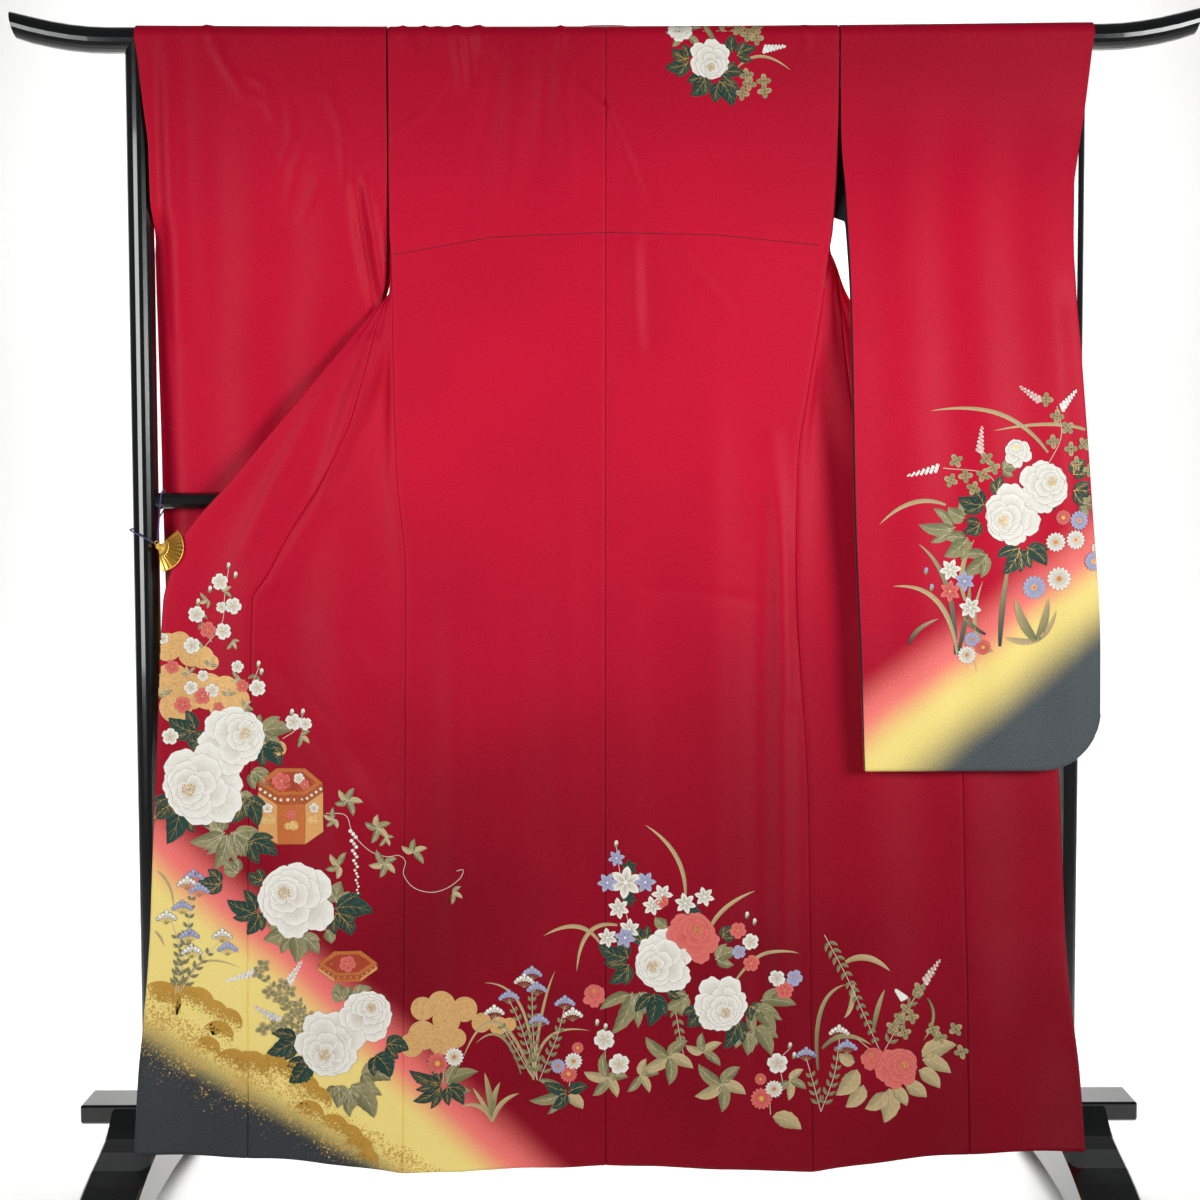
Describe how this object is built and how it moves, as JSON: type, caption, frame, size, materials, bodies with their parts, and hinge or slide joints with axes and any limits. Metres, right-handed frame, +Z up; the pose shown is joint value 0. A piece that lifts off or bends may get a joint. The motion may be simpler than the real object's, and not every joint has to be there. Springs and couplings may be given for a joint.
{
  "type": "furisode kimono on a kimono stand",
  "caption": "Long-sleeved silk kimono spread over a free-standing lacquered rack, shown from its back.",
  "frame": {"origin": "on the floor, midway between the two feet, under the top rail", "axes": "+Z up, +Y through the rack from the garment's back to its front, +X along the rail"},
  "size_m": [1.672, 0.668, 1.6972],
  "materials": {
    "silk": "crepe silk, patterned",
    "lacquer": "black gloss lacquer on wood",
    "gilt": "gilt",
    "plait": "plaited cord"
  },
  "bodies": {
    "root": {"rail": "lacquer", "crossbar": "lacquer", "beam": "lacquer", "post_left": "lacquer", "post_right": "lacquer", "foot_left": "lacquer", "foot_right": "lacquer", "back_left": "silk", "back_right": "silk", "front_left": "silk", "front_right": "silk", "okumi_left": "silk", "okumi_right": "silk", "sleeve_left": "silk", "sleeve_right": "silk", "collar": "silk", "clip": "gilt", "clip_cord": "plait"}
  },
  "joints": []
}
